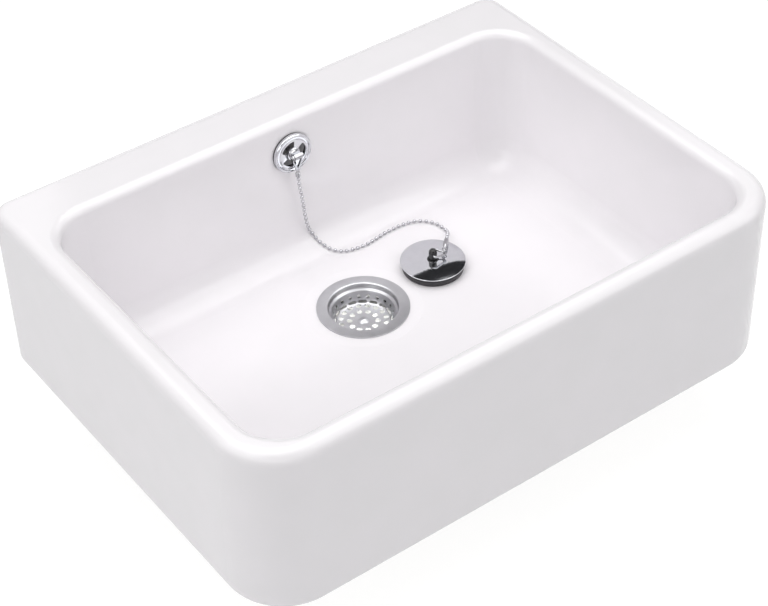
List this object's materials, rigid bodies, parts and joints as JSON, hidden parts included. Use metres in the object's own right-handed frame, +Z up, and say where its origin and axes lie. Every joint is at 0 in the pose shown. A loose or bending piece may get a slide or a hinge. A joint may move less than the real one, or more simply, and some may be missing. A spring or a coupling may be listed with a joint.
{
  "type": "ceramic kitchen sink",
  "caption": "White glazed ceramic single-bowl sink with a rear ledge, strainer waste, hooded overflow fitting, ball chain and plug, and the overflow hose to the waste behind.",
  "frame": {"origin": "middle of the flat underside of the ceramic, 48 mm in front of the waste's axis", "axes": "+X to the user's right, +Y to the rear ledge, +Z up"},
  "size_m": [0.6, 0.45, 0.272],
  "materials": {
    "glaze": "glossy white glaze",
    "seal_rubber": "matte",
    "satin_steel": "satin",
    "white_plastic": "moulded, semi-matte",
    "hose_plastic": "ribbed, semi-matte",
    "brass": "turned",
    "chrome": "polished",
    "chain_steel": "bright",
    "black_plastic": "gloss",
    "plug_rubber": "satin"
  },
  "bodies": {
    "sink": {"sink_basin": "glaze", "flange_seal": "seal_rubber", "strainer_cup": "satin_steel", "strainer_screw": "satin_steel", "under_seal": "seal_rubber", "waste_body": "white_plastic", "waste_insert": "brass", "overflow_rosette": "chrome", "rosette_seal": "seal_rubber", "rosette_bolt": "chrome", "elbow_seal": "seal_rubber", "overflow_elbow": "white_plastic", "elbow_insert": "brass", "hose_washers": "seal_rubber", "hose_nut_lower": "white_plastic", "hose_nut_upper": "white_plastic", "overflow_hose": "hose_plastic", "shackle_pin": "chrome", "chain_hanging": "chain_steel", "chain_lying": "chain_steel"},
    "shackle": {"chain_shackle": "chrome", "chain_clasp": "chrome"},
    "plug": {"plug_stud": "black_plastic", "plug_disc": "chrome", "plug_rubber": "plug_rubber", "plug_washer": "satin_steel"},
    "link": {"triangle_link": "chrome", "chain_ring": "chrome", "chain_connector": "chrome", "chain_at_plug": "chain_steel"}
  },
  "joints": [
    {"name": "shackle_swing", "type": "hinge", "parent": "sink", "child": "shackle", "pos_m": [0, 0.15343, 0.146], "axis": [-1, 0, 0], "range_deg": [-6, 90]},
    {"name": "plug_lift", "type": "slide", "parent": "sink", "child": "plug", "axis": [0, 0, 1], "range_m": [0, 0.06]},
    {"name": "link_swing", "type": "hinge", "parent": "plug", "child": "link", "pos_m": [0.092, 0.054, 0.0405], "axis": [-0.4226, -0.9063, 0], "range_deg": [0, 200]}
  ]
}
